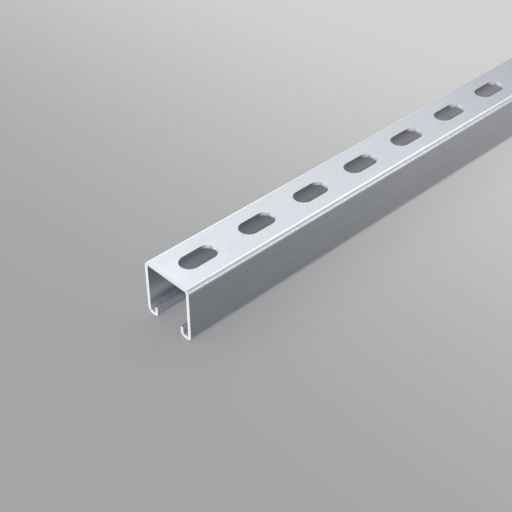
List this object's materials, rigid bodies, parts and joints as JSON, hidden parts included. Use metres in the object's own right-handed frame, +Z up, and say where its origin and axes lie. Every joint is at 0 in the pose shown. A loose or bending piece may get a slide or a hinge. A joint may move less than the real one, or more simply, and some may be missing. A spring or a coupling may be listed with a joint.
{
  "type": "solar mounting rail",
  "caption": "Open steel channel rail with a row of long slots in its web and two turned-in lips, to which clamps and brackets are bolted.",
  "frame": {"origin": "middle of the rail's length and width, on the plane of the lips' outer faces, which it lies on", "axes": "+X along the rail, from the end nearest the viewer; +Y across it, away from the viewer; +Z up, through the slotted web"},
  "size_m": [1, 0.041, 0.041],
  "materials": {
    "zinc_coated_steel": "smooth zinc coated steel, satin"
  },
  "bodies": {
    "root": {"slotted_channel": "zinc_coated_steel"}
  },
  "joints": []
}
